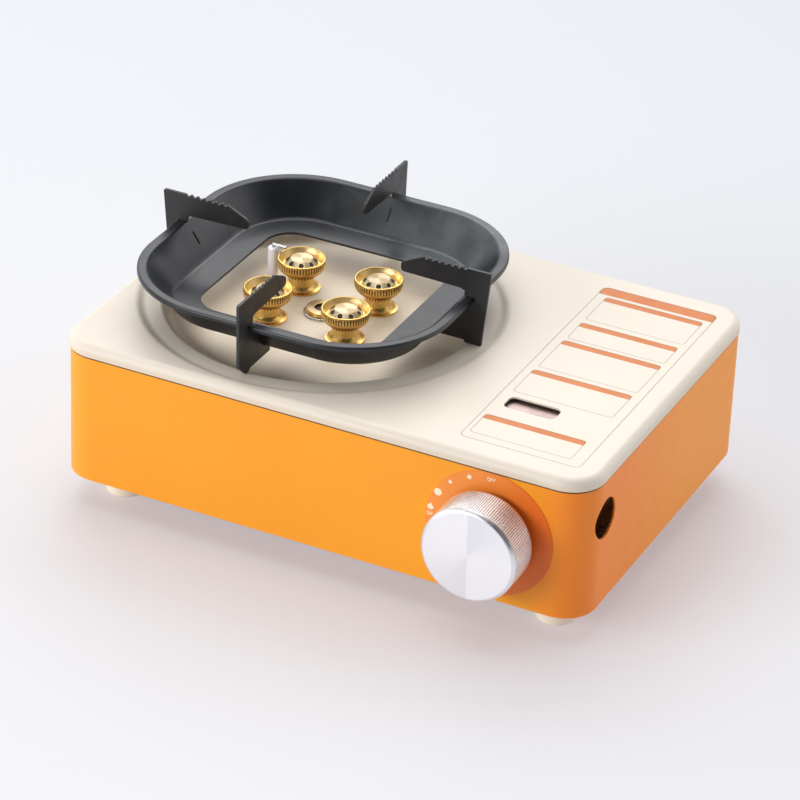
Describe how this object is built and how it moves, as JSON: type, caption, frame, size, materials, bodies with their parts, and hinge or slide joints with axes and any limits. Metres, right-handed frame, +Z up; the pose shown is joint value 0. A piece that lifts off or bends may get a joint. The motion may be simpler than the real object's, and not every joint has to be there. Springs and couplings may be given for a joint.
{
  "type": "butane cassette stove",
  "caption": "Portable single-hob gas stove: box body with rolled-edge lid, sunk dish, brass burners, removable tray with toothed pan supports, front knob, rear cartridge port.",
  "frame": {"origin": "centre of the footprint of the whole part (knob included), on the surface that the feet stand on", "axes": "+X to the right along the long side, with the knob at the right-hand end; -Y is the front, where the knob is; +Z up"},
  "size_m": [0.301, 0.234, 0.1392],
  "materials": {
    "body_paint": "satin orange powder coat",
    "lid_enamel": "glossy cream enamel",
    "tray_coat": "dark satin non-stick coating",
    "support_coat": "near-black satin enamel",
    "brass": "turned and polished",
    "plain_steel": "bright",
    "galvanised": "galvanised sheet",
    "cast_aluminium": "as cast",
    "copper_pipe": "dull copper alloy",
    "ceramic": "glazed white ceramic",
    "foot_plastic": "cream plastic",
    "knob_metal": "knurled side, polished edge, radially brushed face",
    "dial_paint": "darker satin orange",
    "lead_rubber": "silicone insulation",
    "igniter_plastic": "plain",
    "plunger_plastic": "plain",
    "magnet": "plain ferrite"
  },
  "bodies": {
    "stove": {"wall_front": "body_paint", "wall_left": "body_paint", "wall_rear": "body_paint", "wall_right": "body_paint", "wall_corners": "body_paint", "flange_top": "body_paint", "flange_bottom": "body_paint", "base_plate": "plain_steel", "base_screws": "plain_steel", "foot_front_left": "foot_plastic", "foot_front_right": "foot_plastic", "foot_rear_left": "foot_plastic", "foot_rear_right": "foot_plastic", "lid": "lid_enamel", "burner_head_fl": "brass", "burner_head_fr": "brass", "burner_head_rl": "brass", "burner_head_rr": "brass", "burner_stem_fl": "brass", "burner_stem_fr": "brass", "burner_stem_rl": "brass", "burner_stem_rr": "brass", "centre_plug": "brass", "centre_washer": "plain_steel", "manifold": "cast_aluminium", "mixer_tube": "galvanised", "injector_nozzle": "brass", "gas_tube": "copper_pipe", "electrode_ceramic": "ceramic", "electrode_wire": "plain_steel", "electrode_clip": "galvanised", "ignition_lead": "lead_rubber", "piezo_igniter": "igniter_plastic", "piezo_clamp": "galvanised", "regulator_body": "cast_aluminium", "regulator_cover": "copper_pipe", "regulator_screws": "plain_steel", "valve_bracket": "galvanised", "bracket_flange": "galvanised", "bracket_foot": "galvanised", "cartridge_collar": "galvanised", "lock_magnets": "magnet", "dial_plate": "dial_paint", "cartridge_cradle": "galvanised", "heat_shield": "galvanised", "heat_conductor": "cast_aluminium"},
    "knob": {"knob": "knob_metal", "knob_set_screw": "plain_steel", "valve_spindle": "plain_steel"},
    "plunger": {"piezo_plunger": "plunger_plastic"},
    "grate": {"tray": "tray_coat", "support_front": "support_coat", "support_right": "support_coat", "support_rear": "support_coat", "support_left": "support_coat"}
  },
  "joints": [
    {"name": "knob_turn", "type": "hinge", "parent": "stove", "child": "knob", "pos_m": [0.0975, -0.0915, 0.0555], "axis": [0, -1, 0], "range_deg": [0, 90]},
    {"name": "piezo_push", "type": "slide", "parent": "stove", "child": "plunger", "axis": [-1, 0, 0], "range_m": [0, 0.005]},
    {"name": "grate_lift", "type": "slide", "parent": "stove", "child": "grate", "axis": [0, 0, 1], "range_m": [0, 0.03]}
  ],
  "couplings": [
    {"joint": "piezo_push", "follows": "knob_turn", "m_per_rad": 0.00318}
  ]
}
